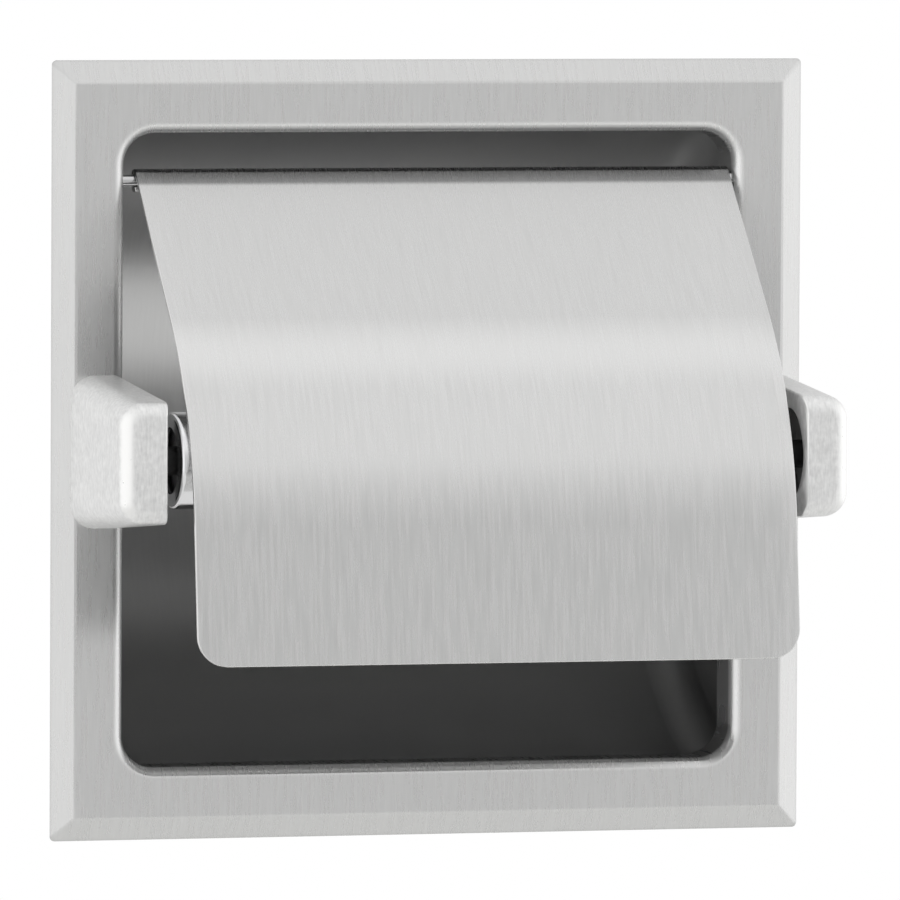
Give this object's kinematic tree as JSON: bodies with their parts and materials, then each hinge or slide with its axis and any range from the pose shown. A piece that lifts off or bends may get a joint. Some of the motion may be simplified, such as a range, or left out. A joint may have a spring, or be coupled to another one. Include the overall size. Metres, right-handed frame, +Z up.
{
  "type": "recessed toilet paper dispenser",
  "caption": "Recessed toilet paper dispenser: square bevelled flange, curved recess, posts holding a sprung telescoping spindle, and a bent steel hood hinged on a rod.",
  "frame": {"origin": "centre of the face flange, on the wall plane where the flange's rim rests", "axes": "+Y into the wall, +Z up, +X to the right of someone facing the wall"},
  "size_m": [0.1556, 0.1389, 0.1556],
  "materials": {
    "flange_steel": "satin stainless, vertical grain",
    "recess_steel": "satin stainless, vertical grain",
    "hood_steel": "satin stainless, vertical grain",
    "rod_steel": "drawn stainless wire",
    "post_casting": "satin plated casting, brushed faces and polished edges",
    "spindle_chrome": "bright chrome plate",
    "plug_moulding": "black moulded nylon",
    "spring_wire": "drawn spring wire",
    "clamp_steel": "zinc plated",
    "plated_fasteners": "zinc plated"
  },
  "bodies": {
    "housing": {"face_flange": "flange_steel", "recess_wrap": "recess_steel", "recess_end_left": "recess_steel", "recess_end_right": "recess_steel", "post_left": "post_casting", "post_right": "post_casting", "post_screws": "plated_fasteners", "post_washers": "plated_fasteners", "hinge_rod": "rod_steel", "clamp_screws": "plated_fasteners", "clamp_washers": "plated_fasteners"},
    "hood": {"hood": "hood_steel"},
    "spindle": {"spindle_sleeve": "spindle_chrome", "sleeve_plug": "plug_moulding", "spindle_spring": "spring_wire"},
    "plunger": {"spindle_plunger": "spindle_chrome", "plunger_plug": "plug_moulding"},
    "clamp": {"wall_clamp": "clamp_steel", "clamp_nuts": "plated_fasteners"}
  },
  "joints": [
    {"name": "hood_hinge", "type": "hinge", "parent": "housing", "child": "hood", "pos_m": [0, 0.0009, 0.05375], "axis": [-1, 0, 0], "range_deg": [0, 92]},
    {"name": "spindle_spin", "type": "hinge", "parent": "housing", "child": "spindle", "pos_m": [0, -0.035, 0], "axis": [1, 0, 0], "continuous": true},
    {"name": "plunger_slide", "type": "slide", "parent": "spindle", "child": "plunger", "axis": [-1, 0, 0], "range_m": [0, 0.0075], "stiffness_N_per_m": 400, "springref_m": -0.01, "deforming": ["spindle_spring"]},
    {"name": "clamp_slide", "type": "slide", "parent": "housing", "child": "clamp", "axis": [0, 1, 0], "range_m": [-0.008, 0.014]}
  ]
}
